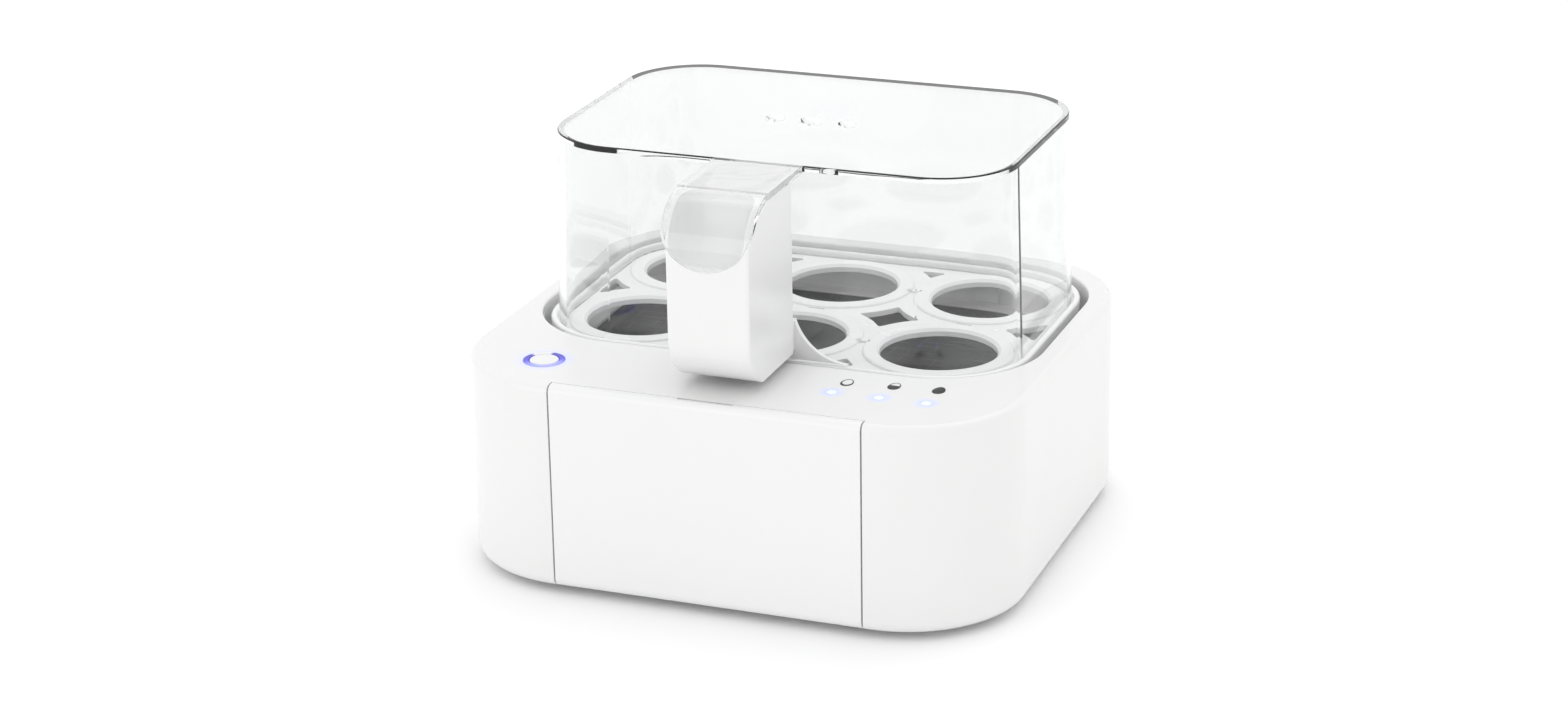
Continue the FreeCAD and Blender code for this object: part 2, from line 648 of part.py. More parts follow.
def button_spring():
    """Coil spring between the board and the cap's flange, around the switch."""
    wire_r = 0.3
    turns = 5
    low = CTRL_TOP + wire_r
    height = CAP_FLANGE_LOW - 2 * wire_r - CTRL_TOP
    coil_r = 5.3
    helix = Part.makeHelix(height / turns, height, coil_r)
    helix.translate(V(BUTTON_X, BUTTON_Y, low))
    start = V(BUTTON_X + coil_r, BUTTON_Y, low)
    section = Part.Wire([Part.Circle(start, V(0, 1, 0), wire_r).toShape()])
    return Part.Wire(helix.Edges).makePipeShell([section], True, True)


def power_board():
    board = box(POWER_X - POWER_W / 2, POWER_X + POWER_W / 2, POWER_Y - POWER_D / 2,
                POWER_Y + POWER_D / 2, POWER_Z, POWER_TOP)
    for x, y in POWER_POSTS:
        board = board.cut(cylinder(1.3, x, y, POWER_Z - 1, POWER_TOP + 1))
    return board


def power_board_screws():
    screws = []
    for x, y in POWER_POSTS:
        head = cylinder(2.4, x, y, POWER_TOP, POWER_TOP + 1.5)
        head = head.makeFillet(0.6, edges_at(head, POWER_TOP + 1.5))
        screw = head.fuse(cylinder(1.0, x, y, POWER_TOP - 6, POWER_TOP))
        slot = box(x - 1.4, x + 1.4, y - 0.3, y + 0.3, POWER_TOP + 0.8, POWER_TOP + 2)
        screws.append(screw.cut(slot).removeSplitter())
    return group(screws)


def relay():
    body = box(-58, -39, 2, 17, POWER_TOP, POWER_TOP + 15)
    return body.makeFillet(0.8, upright_edges(body, lambda c: True))


def film_capacitor():
    body = box(-32, -14, 4, 12, POWER_TOP, POWER_TOP + 14)
    return body.makeFillet(1.0, upright_edges(body, lambda c: True))


def power_transformer():
    """Small transformer: laminated core with a wound bobbin through it."""
    core = box(-12, 12, 10, 30, POWER_TOP + 3, POWER_TOP + 21)
    bobbin = box(-7, 7, 5, 35, POWER_TOP + 7, POWER_TOP + 17)
    feet = box(-12, 12, 14, 26, POWER_TOP, POWER_TOP + 3)
    return core.fuse(bobbin).fuse(feet).removeSplitter()


def terminal_block():
    """Two-way mains terminal block at the edge of the board nearest the gland."""
    block = box(8, 24, 31, 43, POWER_TOP, POWER_TOP + 11)
    block = block.cut(cylinder(3.2, 22, 39, POWER_TOP - 1, POWER_TOP + 12))
    for x in (11.5, 16.5):
        block = block.cut(cylinder(1.6, x, 37, POWER_TOP + 6, POWER_TOP + 12))
        block = block.cut(Part.makeCylinder(1.6, 6, V(x, 39, POWER_TOP + 3.5), V(0, 1, 0)))
    return block.removeSplitter()


def tube_along(points, radius):
    """Round lead along straight runs joined by tangent arcs."""
    nodes = [V(*p) for p in points]
    edges = []
    at = nodes[0]
    for i in range(1, len(nodes) - 1):
        before = (nodes[i] - nodes[i - 1])
        after = (nodes[i + 1] - nodes[i])
        turn = before.getAngle(after)
        reach = 0.45 * min(before.Length, after.Length)
        u = V(before).normalize()
        w = V(after).normalize()
        enter = nodes[i] - u * reach
        leave = nodes[i] + w * reach
        bend_r = reach / math.tan(turn / 2)
        inward = (w - u).normalize()
        centre = nodes[i] + inward * math.sqrt(bend_r ** 2 + reach ** 2)
        middle = centre - inward * bend_r
        edges.append(Part.LineSegment(at, enter).toShape())
        edges.append(Part.Arc(enter, middle, leave).toShape())
        at = leave
    edges.append(Part.LineSegment(at, nodes[-1]).toShape())
    path = Part.Wire(edges)
    heading = (nodes[1] - nodes[0]).normalize()
    section = Part.Wire([Part.Circle(nodes[0], heading, radius).toShape()])
    return path.makePipeShell([section], True, False)


def heater_leads():
    """Sleeved leads from the element's blades down to the power board."""
    low_y = WELL_Y - ELEMENT_D / 2
    leads = []
    for x, end_x in ((-PIN_X, -26.0), (PIN_X, 2.0)):
        route = [(x, low_y, PIN_LOW - 13.1), (x, low_y, 20.5),
                 ((x + end_x) / 2, low_y + 3, POWER_TOP + 3.4), (end_x, low_y + 5, POWER_TOP + 1.6)]
        leads.append(tube_along(route, 1.2))
    return group(leads)


def ribbon_cable():
    """Flat cable from the control board down to the power board."""
    x0, x1 = -58.0, -44.0
    upper = box(x0, x1, -53.9, -53.2, 40.0, CTRL_Z + PCB_T)
    slope = profile_in_yz([(-53.9, 40.0), (-53.2, 40.0), (-16.2, POWER_TOP + 3.0),
                           (-16.9, POWER_TOP + 3.0)], (x1 - x0) / 2)
    slope.translate(V((x0 + x1) / 2, 0, 0))
    plug = box(x0 - 1, x1 + 1, -14.8, -11.0, POWER_TOP, POWER_TOP + 6)
    tail = box(x0, x1, -16.9, -14.7, POWER_TOP + 2.3, POWER_TOP + 3.0)
    return upper.fuse(slope).fuse(tail).fuse(plug).removeSplitter()


# ---------------------------------------------------------------- cable gland
def along_back(radius, y0, y1):
    return Part.makeCylinder(radius, y1 - y0, V(GLAND_X, y0, GLAND_Z), V(0, 1, 0))


def cable_gland():
    inner = BACK_Y - GLAND_LENGTH
    gland = along_back(GLAND_FLANGE_R, BACK_Y - GLAND_FLANGE_T, BACK_Y)
    gland = gland.fuse(along_back(GLAND_BODY_R, inner, BACK_Y - GLAND_FLANGE_T))
    return gland.cut(along_back(GLAND_BORE_R, inner - 1, BACK_Y + 1)).removeSplitter()


def gland_nut():
    y1 = BACK_Y - WALL - 2.1
    y0 = y1 - 4.0
    radius = 17.0 / math.sqrt(3)
    points = []
    for i in range(7):
        a = math.radians(60 * i)
        points.append(V(GLAND_X + radius * math.cos(a), y0, GLAND_Z + radius * math.sin(a)))
    body = Part.Face(Part.makePolygon(points)).extrude(V(0, y1 - y0, 0))
    return body.cut(along_back(GLAND_BODY_R + 0.05, y0 - 1, y1 + 1))


# ---------------------------------------------------------------- egg tray
def egg_tray():
    """White tray: six egg holes with raised ridges, cut-outs between them, lip around the lid's foot."""
    tray = rounded_prism(TRAY_W, TRAY_D, TRAY_R, TRAY_Z, TRAY_TOP, WELL_Y)
    lip = rounded_ring(TRAY_W, TRAY_D, TRAY_R, LIP_T, TRAY_Z, LIP_TOP, WELL_Y)
    lip = lip.makeFillet(1.0, edges_at(lip, LIP_TOP))
    tray = tray.fuse(lip)
    band = rounded_prism(BAND_W, BAND_D, BAND_R, TRAY_Z - 1, TRAY_TOP + 1, WELL_Y)
    for x, y in egg_centres():
        band = band.cut(cylinder(RING_R, x, y, TRAY_Z - 2, TRAY_TOP + 2))
    gaps = [s.makeFillet(0.9, upright_edges(s, lambda c: True)) for s in band.Solids if s.Volume > 20]
    for gap in gaps:
        tray = tray.cut(gap)
    for x, y in egg_centres():
        ridge = cylinder(RIDGE_R, x, y, TRAY_TOP - 0.5, TRAY_TOP + RIDGE_H)
        ridge = ridge.makeFillet(0.75, edges_at(ridge, TRAY_TOP + RIDGE_H))
        tray = tray.fuse(ridge)
    for x, y in egg_centres():
        hole = cylinder(EGG_R, x, y, TRAY_Z - 1, TRAY_TOP + 3)
        flare = Part.makeCone(EGG_R, EGG_R + 1.4, 1.4, V(x, y, TRAY_TOP + RIDGE_H - 1.0))
        tray = tray.cut(hole.fuse(flare))
    for i in (-1, 0, 1):
        tray = tray.cut(rounded_prism(6.6, 2.6, 1.25, TRAY_TOP - 0.6, TRAY_TOP + 2, WELL_Y, i * EGG_DX))
    for i in (-1, 1):
        for j in (-1, 1):
            y = WELL_Y + j * EGG_DY / 2
            x = i * EGG_DX / 2
            tray = tray.cut(rounded_prism(5.4, 2.6, 1.25, TRAY_TOP - 0.6, TRAY_TOP + 2, y, x))
    return tray.removeSplitter()


# ---------------------------------------------------------------- lid
def lid_block(inset, low, high):
    """Drafted block of the lid, set in from its outer faces."""
    span = LID_TOP_Z - TRAY_TOP
    wires = []
    for z in (low, high):
        t = (z - TRAY_TOP) / span
        w = LID_FOOT_W + (LID_TOP_W - LID_FOOT_W) * t - 2 * inset
        d = LID_FOOT_D + (LID_TOP_D - LID_FOOT_D) * t - 2 * inset
        r = LID_FOOT_R + (LID_TOP_R - LID_FOOT_R) * t - inset
        wires.append(rounded_wire(w, d, r, z, WELL_Y))
    return Part.makeLoft(wires, True, True)


def lid_shell():
    shell = lid_block(0, TRAY_TOP, LID_TOP_Z)
    shell = shell.makeFillet(0.5, edges_at(shell, LID_TOP_Z))
    root_y = WELL_Y - LID_TOP_D / 2 + 8
    outer_r = NOSE_R + LID_ROOF_T
    c45 = math.sqrt(0.5)
    tip_y = HANDLE_FRONT
    profile = [
        (root_y, LID_TOP_Z),
        (NOSE_Y, LID_TOP_Z),
        (NOSE_Y - outer_r * c45, NOSE_Z + outer_r * c45, NOSE_Y - outer_r, NOSE_Z),
        (NOSE_Y - outer_r, TONGUE_TIP_Z - 1),
        (tip_y, TONGUE_TIP_Z - 1),
        (tip_y, NOSE_Z),
        (NOSE_Y - NOSE_R * c45, NOSE_Z + NOSE_R * c45, NOSE_Y, HANDLE_TOP),
        (root_y, HANDLE_TOP),
    ]
    tongue = profile_in_yz(profile, TONGUE_W / 2)
    half = TONGUE_W / 2
    deep = HANDLE_FRONT - 10
    mask = Part.makeCylinder(half, root_y - deep, V(0, deep, TONGUE_TIP_Z + half), V(0, 1, 0))
    mask = mask.fuse(box(-half, half, deep, root_y, TONGUE_TIP_Z + half, LID_TOP_Z + 1))
    tongue = tongue.common(mask)
    shell = shell.fuse(tongue)
    shell = shell.cut(lid_block(LID_WALL, TRAY_TOP - 1, LID_TOP_Z - LID_ROOF_T))
    for i, radius in ((-1, VENT_R), (0, VENT_MID_R), (1, VENT_R)):
        shell = shell.cut(cylinder(radius, i * VENT_DX, VENT_Y, LID_TOP_Z - 5, LID_TOP_Z + 1))
    for z in HANDLE_SCREW_ZS:
        shell = shell.cut(Part.makeCylinder(1.7, 20, V(0, -46, z), V(0, 1, 0)))
    return shell.removeSplitter()


def lid_handle():
    """Solid white handle with a thumb scoop behind the tongue and a web spread over the lid's wall."""
    c45 = math.sqrt(0.5)
    profile = [
        (HANDLE_REAR, HANDLE_TOP),
        (NOSE_Y, HANDLE_TOP),
        (NOSE_Y - NOSE_R * c45, NOSE_Z + NOSE_R * c45, HANDLE_FRONT, NOSE_Z),
        (HANDLE_FRONT, 97.0),
        (HANDLE_FRONT + 2.6, 87.6, HANDLE_FRONT + 10.2, HANDLE_LOW + 0.6),
        (HANDLE_FRONT + 12.0, HANDLE_LOW),
        (HANDLE_REAR, HANDLE_LOW),
    ]
    body = profile_in_yz(profile, HANDLE_W / 2)
    corners = upright_edges(body, lambda c: True)
    body = body.makeFillet(1.2, corners)
    scoop = Part.makeCylinder(SCOOP_R, SCOOP_W, V(-SCOOP_W / 2, SCOOP_Y, SCOOP_Z), V(1, 0, 0))
    rims = [e for e in scoop.Edges if e.BoundBox.XLength < 1e-4]
    scoop = scoop.makeFillet(SCOOP_EDGE_R, rims)
    body = body.cut(scoop)
    neck = box(-NECK_W / 2, NECK_W / 2, HANDLE_REAR - 2, -30, 86.0, HANDLE_TOP)
    body = body.fuse(neck)
    body = body.fuse(handle_web())
    body = body.cut(lid_block(0, TRAY_TOP, LID_TOP_Z))
    for z in HANDLE_SCREW_ZS:
        body = body.cut(Part.makeCylinder(1.3, 16, V(0, -50, z), V(0, 1, 0)))
    return body.removeSplitter()


def handle_web():
    """Thin flared web on the lid's front wall at the handle's foot."""
    y = WELL_Y - LID_FOOT_D / 2 - WEB_T
    low = WEB_LOW_W / 2
    high = HANDLE_W / 2 - 1
    run = low - high
    rise = WEB_HIGH_Z - WEB_LOW_Z
    sweep_r = (run ** 2 + rise ** 2) / (2 * rise)
    half_turn = math.atan2(run, sweep_r - rise) / 2
    mid_x = low - sweep_r * math.sin(half_turn)
    mid_z = WEB_LOW_Z + sweep_r * (1 - math.cos(half_turn))
    left = [V(-low, y, WEB_LOW_Z), V(-mid_x, y, mid_z), V(-high, y, WEB_HIGH_Z)]
    right = [V(high, y, WEB_HIGH_Z), V(mid_x, y, mid_z), V(low, y, WEB_LOW_Z)]
    edges = [Part.Arc(*left).toShape(), Part.LineSegment(left[2], right[0]).toShape(),
             Part.Arc(*right).toShape(), Part.LineSegment(right[2], left[0]).toShape()]
    web = Part.Face(Part.Wire(edges)).extrude(V(0, 6, 0))
    foot_block = box(-high, high, HANDLE_REAR - 2, y + 2, HANDLE_LOW, WEB_HIGH_Z)
    return web.fuse(foot_block)


def handle_screws():
    """Two screws from inside the lid into the handle's neck."""
    screws = []
    for z in HANDLE_SCREW_ZS:
        t = (z - TRAY_TOP) / (LID_TOP_Z - TRAY_TOP)
        face_y = WELL_Y - (LID_FOOT_D + (LID_TOP_D - LID_FOOT_D) * t) / 2 + LID_WALL
        head = Part.makeCylinder(3.0, 1.8, V(0, face_y + 0.15, z), V(0, 1, 0))
        rim = [e for e in head.Edges if abs(e.BoundBox.YMin - face_y - 1.95) < 1e-4]
        head = head.makeFillet(0.7, rim)
        shank = Part.makeCylinder(1.25, 12, V(0, face_y + 0.2 - 12, z), V(0, 1, 0))
        slot = box(-1.7, 1.7, face_y + 1.1, face_y + 3, z - 0.35, z + 0.35)
        screws.append(head.fuse(shank).cut(slot).removeSplitter())
    return group(screws)


def build():
    pieces = {
        "housing_shell": housing_shell(),
        "front_panel": front_panel(),
        "base_plate": base_plate(),
        "base_screws": base_screws(),
        "well_liner": well_liner(),
        "dish_seal": dish_seal(),
        "heating_dish": heating_dish(),
        "dish_studs": dish_studs(),
        "clamp_bar_left": clamp_bar(-STUD_X),
        "clamp_bar_right": clamp_bar(STUD_X),
        "clamp_nuts": clamp_nuts(),
        "heater_element": heater_element(),
        "element_insulators": element_insulators(),
        "element_clips": element_clips(),
        "thermostat": thermostat(),
        "thermostat_bracket": thermostat_bracket(),
        "thermal_fuse": thermal_fuse(),
        "fuse_clip": fuse_clip(),
        "control_board": control_board(),
        "control_board_screws": control_board_screws(),
        "control_chip": control_chip(),
        "status_leds": status_leds(),
        "ring_leds": ring_leds(),
        "buzzer": buzzer(),
        "tact_switch": tact_switch(),
        "button_ring": button_ring(),
        "button_cap": button_cap(),
        "button_spring": button_spring(),
        "power_board": power_board(),
        "power_board_screws": power_board_screws(),
        "relay": relay(),
        "film_capacitor": film_capacitor(),
        "power_transformer": power_transformer(),
        "terminal_block": terminal_block(),
        "heater_leads": heater_leads(),
        "ribbon_cable": ribbon_cable(),
        "cable_gland": cable_gland(),
        "gland_nut": gland_nut(),
        "egg_tray": egg_tray(),
        "lid_shell": lid_shell(),
        "lid_handle": lid_handle(),
        "handle_screws": handle_screws(),
    }
    for name, (x, y) in FEET.items():
        pieces[name] = foot(x, y)
    for name, x in zip(LAMP_NAMES, LAMP_XS):
        pieces[name] = led_window(x)
    return pieces


os.makedirs("parts", exist_ok=True)
for node, shape in build().items():
    shape.exportStep("parts/" + node + ".step")
    print(node, len(shape.Solids), "solids", round(shape.Volume, 1), "mm3 valid", shape.isValid())
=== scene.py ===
"""Look of the six-egg cooker: materials, printed marks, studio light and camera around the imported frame.

Metres, in the frame's own axes: +X right, +Y to the back, +Z up, floor at z = 0.
"""
import math

import bmesh
import bpy
from mathutils import Matrix, Vector


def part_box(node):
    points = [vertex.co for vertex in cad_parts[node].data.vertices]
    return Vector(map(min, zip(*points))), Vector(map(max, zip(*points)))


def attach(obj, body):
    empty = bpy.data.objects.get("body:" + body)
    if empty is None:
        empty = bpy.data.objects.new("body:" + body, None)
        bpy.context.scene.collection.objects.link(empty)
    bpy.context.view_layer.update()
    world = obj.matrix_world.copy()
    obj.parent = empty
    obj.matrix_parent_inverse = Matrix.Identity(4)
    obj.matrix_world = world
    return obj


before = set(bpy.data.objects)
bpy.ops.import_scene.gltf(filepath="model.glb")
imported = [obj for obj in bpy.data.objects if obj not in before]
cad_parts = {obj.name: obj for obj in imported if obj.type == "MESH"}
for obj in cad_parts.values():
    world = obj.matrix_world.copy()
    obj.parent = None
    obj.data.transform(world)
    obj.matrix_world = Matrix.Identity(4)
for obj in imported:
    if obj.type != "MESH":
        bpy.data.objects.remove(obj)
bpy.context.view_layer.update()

# ---- camera ----
CAMERA_AZIMUTH = 20.94
CAMERA_ELEVATION = 20.28
CAMERA_ROLL = -0.88
CAMERA_DISTANCE = 1.1215
CAMERA_TARGET = Vector((0.0208, -0.0687, 0.0882))
CAMERA_LENS = 77.1

# ---- studio ----
FLOOR_HALF = 4.0
SKY_STRENGTH = 1.08
LIGHTS = {
    # name: (place, aimed at, width, height, watts)
    "key_front_left": ((-0.95, -1.60, 0.55), (0, 0, 0.05), 1.3, 1.0, 3.0),
    "fill_right": ((1.7, -0.6, 0.6), (0, 0, 0.05), 1.0, 1.0, 0.1),
    "top_back": ((0.1, 0.9, 1.6), (0, 0, 0.05), 1.6, 1.2, 4.0),
}

# ---- clear plastic: fewer bounces make the lid's rims darker ----
LID_BOUNCES = 20
LID_TINT = ((0.895, 0.903, 0.903), (0.910, 0.915, 0.915))
LID_SHADOW_TINT = (0.985, 0.987, 0.987, 1.0)

# ---- button ring: its unlit gap is centred on this heading ----
RING_GAP = (-0.47, 0.88, 0.0)

# ---- roughness of the white gloss plastic ----
GLOSS = (0.20, 0.24)

# ---- painted blue glow in the white plastic around the lamps and the button ring: (full within, gone beyond, strength) ----
LAMP_HALO = (0.0012, 0.0054, 1.0)
RING_HALO = (0.0020, 0.0050, 0.35)
# painted light: the colour the plastic is painted towards near the lamps, and the glow it gives off there
PAINTED_HALO_COLOUR = (0.60, 0.64, 0.88, 1.0)
PAINTED_HALO_GLOW = (0.05, 0.07, 0.28)

# ---- printed egg marks on the deck ----
MARK_HALF_W = 0.0022
MARK_HALF_L = 0.0033
MARK_TAPER = 0.13
MARK_INK = 0.00005
MARK_POINTS = 40
# name: (offset from its lamp, share of the egg that the bare middle takes, its shift back, its lowest y)
MARKS = {
    "mark_soft": ("led_window_soft", (0.0019, 0.0100), (0.76, 0.0005, -0.0030)),
    "mark_medium": ("led_window_medium", (0.0015, 0.0117), (0.76, 0.0005, 0.0006)),
    "mark_hard": ("led_window_hard", (0.0003, 0.0126), None),
}


def centre_of(node):
    """Middle of a node's box, with z at its top."""
    low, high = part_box(node)
    return Vector(((low.x + high.x) / 2, (low.y + high.y) / 2, high.z))


DECK_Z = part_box("housing_shell")[1].z
FLANGE_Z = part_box("heating_dish")[1].z
RING_CENTRE = centre_of("button_ring")
RING_R = (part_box("button_cap")[1].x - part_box("button_cap")[0].x) / 2
LAMPS = [centre_of("led_window_" + name) for name in ("soft", "medium", "hard")]


# ------------------------------------------------------------------ materials
class Recipe:
    """One material: a Principled shader, its constants, and helpers for the nodes that feed it."""

    def __init__(self, name, **constants):
        self.material = bpy.data.materials.new(name)
        self.material.use_nodes = True
        self.tree = self.material.node_tree
        self.tree.nodes.clear()
        self.output = self.tree.nodes.new("ShaderNodeOutputMaterial")
        self.shader = self.tree.nodes.new("ShaderNodeBsdfPrincipled")
        self.tree.links.new(self.shader.outputs["BSDF"], self.output.inputs["Surface"])
        for socket, value in constants.items():
            self.shader.inputs[socket.replace("_", " ")].default_value = value
        self.place = self.tree.nodes.new("ShaderNodeTexCoord").outputs["Object"]

    def feed(self, socket, source):
        if isinstance(source, bpy.types.NodeSocket):
            self.tree.links.new(source, socket)
        else:
            socket.default_value = source

    def node(self, kind, inputs, **settings):
        node = self.tree.nodes.new(kind)
        for key, value in settings.items():
            setattr(node, key, value)
        for socket, source in inputs.items():
            self.feed(node.inputs[socket], source)
        return node

    def shade(self, **sources):
        for socket, source in sources.items():
            self.feed(self.shader.inputs[socket.replace("_", " ")], source)

    def math(self, operation, first, second):
        return self.node("ShaderNodeMath", {0: first, 1: second}, operation=operation).outputs[0]

    def noise(self, size, detail=2.0, stretch=None):
        """Smooth noise whose blobs are about size metres across."""
        place = self.place
        if stretch:
            place = self.node("ShaderNodeMapping", {"Vector": place, "Scale": stretch}).outputs["Vector"]
        inputs = {"Vector": place, "Scale": 1.0 / size, "Detail": detail}
        return self.node("ShaderNodeTexNoise", inputs).outputs["Fac"]

    def specks(self, size):
        """Distance to the nearest of many scattered points, size metres apart."""
        inputs = {"Vector": self.place, "Scale": 1.0 / size}
        return self.node("ShaderNodeTexVoronoi", inputs).outputs["Distance"]

    def bands(self, size, direction="X", distortion=0.0):
        inputs = {"Vector": self.place, "Scale": 1.0 / size, "Distortion": distortion}
        return self.node("ShaderNodeTexWave", inputs, bands_direction=direction).outputs["Fac"]

    def span(self, value, low, high, start=0.3, end=0.7):
        inputs = {"Value": value, "From Min": start, "From Max": end, "To Min": low, "To Max": high}
        return self.node("ShaderNodeMapRange", inputs).outputs["Result"]

    def tones(self, value, *stops):
        ramp = self.node("ShaderNodeValToRGB", {"Fac": value})
        elements = ramp.color_ramp.elements
        while len(elements) < len(stops):
            elements.new(1.0)
        for index, (position, colour) in enumerate(stops):
            elements[index].position = position
            elements[index].color = (*colour, 1.0)
        return ramp.outputs["Color"]

    def blend(self, share, first, second):
        inputs = {"Factor": share, 6: first, 7: second}
        return self.node("ShaderNodeMix", inputs, data_type="RGBA").outputs[2]

    def bump(self, height, depth, under=None):
        inputs = {"Height": height, "Distance": depth, "Strength": 1.0}
        if under is not None:
            inputs["Normal"] = under
        return self.node("ShaderNodeBump", inputs).outputs["Normal"]

    def soft_edges(self, radius):
        return self.node("ShaderNodeBevel", {"Radius": radius}, samples=4).outputs["Normal"]

    def fade(self, distance, near, far, most):
        """Falls smoothly from most at near to nothing at far."""
        inputs = {"Value": distance, "From Min": near, "From Max": far, "To Min": most, "To Max": 0.0}
        return self.node("ShaderNodeMapRange", inputs, interpolation_type="SMOOTHSTEP").outputs["Result"]

    def distance_to(self, point):
        inputs = {0: self.place, 1: point}
        return self.node("ShaderNodeVectorMath", inputs, operation="DISTANCE").outputs["Value"]


def grey(value, warmth=0.0):
    """A grey of this level, a little redder and less blue with warmth."""
    return (value + warmth, value, value - warmth)


def moulded(name, dark, light, rough, peel=0.0000004, grain=0.0, **constants):
    """Moulded plastic: faint cloudiness, slightly uneven gloss, orange peel and, if matte, fine grain."""
    recipe = Recipe(name, **constants)
    normal = recipe.bump(recipe.noise(0.008, 1.0), peel)
    if grain:
        normal = recipe.bump(recipe.noise(0.0004, 3.0), grain, normal)
    recipe.shade(
        Base_Color=recipe.tones(recipe.noise(0.06, 2.0), (0.3, dark), (0.7, light)),
        Roughness=recipe.span(recipe.noise(0.03, 2.0), *rough),
        Normal=normal,
    )
    return recipe


def metal(name, dark, light, rough, stretch, depth=0.000002):
    """Drawn or rolled metal: streaks along one direction in colour, gloss and height."""
    recipe = Recipe(name, Metallic=1.0)
    streaks = recipe.noise(0.0008, 5.0, stretch)
    recipe.shade(
        Base_Color=recipe.tones(recipe.noise(0.01, 4.0), (0.3, dark), (0.7, light)),
        Roughness=recipe.span(streaks, *rough),
        Normal=recipe.bump(streaks, depth, recipe.soft_edges(0.00015)),
    )
    return recipe


def housing_plastic():
    """White gloss plastic with a painted blue glow around each lamp and the button ring: its colour is
    painted blue there and it gives off painted light.
    """
    recipe = moulded("housing_white", grey(0.770, 0.001), grey(0.780, 0.001), GLOSS, Specular_IOR_Level=0.5)
    halo = None
    for centre in LAMPS:
        near = recipe.fade(recipe.distance_to(centre), *LAMP_HALO)
        halo = near if halo is None else recipe.math("MAXIMUM", halo, near)
    away = recipe.math("SUBTRACT", recipe.distance_to(RING_CENTRE), RING_R)
    halo = recipe.math("MAXIMUM", halo, recipe.fade(away, *RING_HALO))
    plain = recipe.shader.inputs["Base Color"].links[0].from_socket
    # painted light: near the lamps and the ring the colour is painted blue and the plastic glows
    recipe.shade(
        Base_Color=recipe.blend(halo, plain, PAINTED_HALO_COLOUR),
        Emission_Color=recipe.tones(halo, (0.0, (0, 0, 0)), (1.0, PAINTED_HALO_GLOW)),
        Emission_Strength=1.0,
    )
    return recipe


def clear_plastic():
    """Clear plastic with slow moulding waves. Shadow and diffuse rays pass it unbent."""
    recipe = Recipe("clear_plastic_wall", Transmission_Weight=1.0, IOR=1.49)
    recipe.shade(
        Base_Color=recipe.tones(recipe.noise(0.05, 2.0), (0.3, LID_TINT[0]), (0.7, LID_TINT[1])),
        Roughness=recipe.span(recipe.noise(0.02, 2.0), 0.0, 0.012),
        Normal=recipe.bump(recipe.noise(0.018, 1.0), 0.00001),
    )
    lit_through = recipe.node("ShaderNodeBsdfTransparent", {"Color": LID_SHADOW_TINT})
    path = recipe.node("ShaderNodeLightPath", {}).outputs
    lighting = recipe.math("MAXIMUM", path["Is Shadow Ray"], path["Is Diffuse Ray"])
    inputs = {0: lighting, 1: recipe.shader.outputs[0], 2: lit_through.outputs[0]}
    mix = recipe.node("ShaderNodeMixShader", inputs)
    recipe.tree.links.new(mix.outputs[0], recipe.output.inputs["Surface"])
    return recipe


def heating_plate():
    """Dark non-stick coating in the bowl, speckled and finely scratched; pale grey on the flange, above the
    bowl.
    """
    recipe = Recipe("nonstick_coating", Specular_IOR_Level=0.5)
    specks = recipe.span(recipe.specks(0.0011), 1.0, 0.0, 0.10, 0.22)
    cloud = recipe.noise(0.012, 5.0)
    coat = recipe.tones(cloud, (0.3, grey(0.050)), (0.7, grey(0.082)))
    across = recipe.span(recipe.noise(0.0009, 3.0, (0.05, 1.0, 1.0)), 0.0, 1.0, 0.60, 0.68)
    along = recipe.span(recipe.noise(0.0009, 3.0, (1.0, 0.06, 1.0)), 0.0, 1.0, 0.62, 0.70)
    scratches = recipe.math("MAXIMUM", across, along)
    faint = recipe.math("MULTIPLY", scratches, 0.35)
    coloured = recipe.blend(recipe.math("MULTIPLY", specks, 0.5), coat, (0.24, 0.24, 0.25, 1.0))
    normal = recipe.bump(specks, 0.000012, recipe.bump(scratches, -0.000004))
    coated = recipe.blend(faint, coloured, (0.30, 0.30, 0.30, 1.0))
    height = recipe.node("ShaderNodeSeparateXYZ", {0: recipe.place}).outputs["Z"]
    on_flange = recipe.span(height, 0.0, 1.0, FLANGE_Z - 0.0012, FLANGE_Z - 0.0008)
    recipe.shade(
        Base_Color=recipe.blend(on_flange, coated, (0.80, 0.80, 0.79, 1.0)),
        Roughness=recipe.span(cloud, 0.32, 0.48),
        Normal=normal,
    )
    return recipe


def ring_light():
    """Light guide round the button: unlit gap at the back left, deep blue beside it, pale at the front."""
    recipe = Recipe("lit_ring", Roughness=0.3)
    offset = recipe.node("ShaderNodeVectorMath", {0: recipe.place, 1: RING_CENTRE}, operation="SUBTRACT")
    heading = recipe.node("ShaderNodeVectorMath", {0: offset.outputs[0]}, operation="NORMALIZE").outputs[0]
    pair = {0: heading, 1: RING_GAP}
    to_gap = recipe.node("ShaderNodeVectorMath", pair, operation="DOT_PRODUCT").outputs["Value"]
    share = recipe.span(to_gap, 0.0, 1.0, -1.0, 1.0)
    share = recipe.math("ADD", share, recipe.span(recipe.noise(0.002, 3.0), -0.02, 0.02))
    lit = recipe.tones(
        share,
        (0.00, (0.40, 0.43, 0.83)),
        (0.22, (0.26, 0.29, 0.82)),
        (0.45, (0.07, 0.06, 0.66)),
        (0.75, (0.03, 0.02, 0.42)),
        (0.91, (0.04, 0.03, 0.40)),
        (0.94, (0.00, 0.00, 0.00)),
    )
    body = recipe.tones(share, (0.90, (0.03, 0.03, 0.12)), (0.94, grey(0.78)))
    recipe.shade(Base_Color=body, Emission_Color=lit, Emission_Strength=0.95)
    return recipe


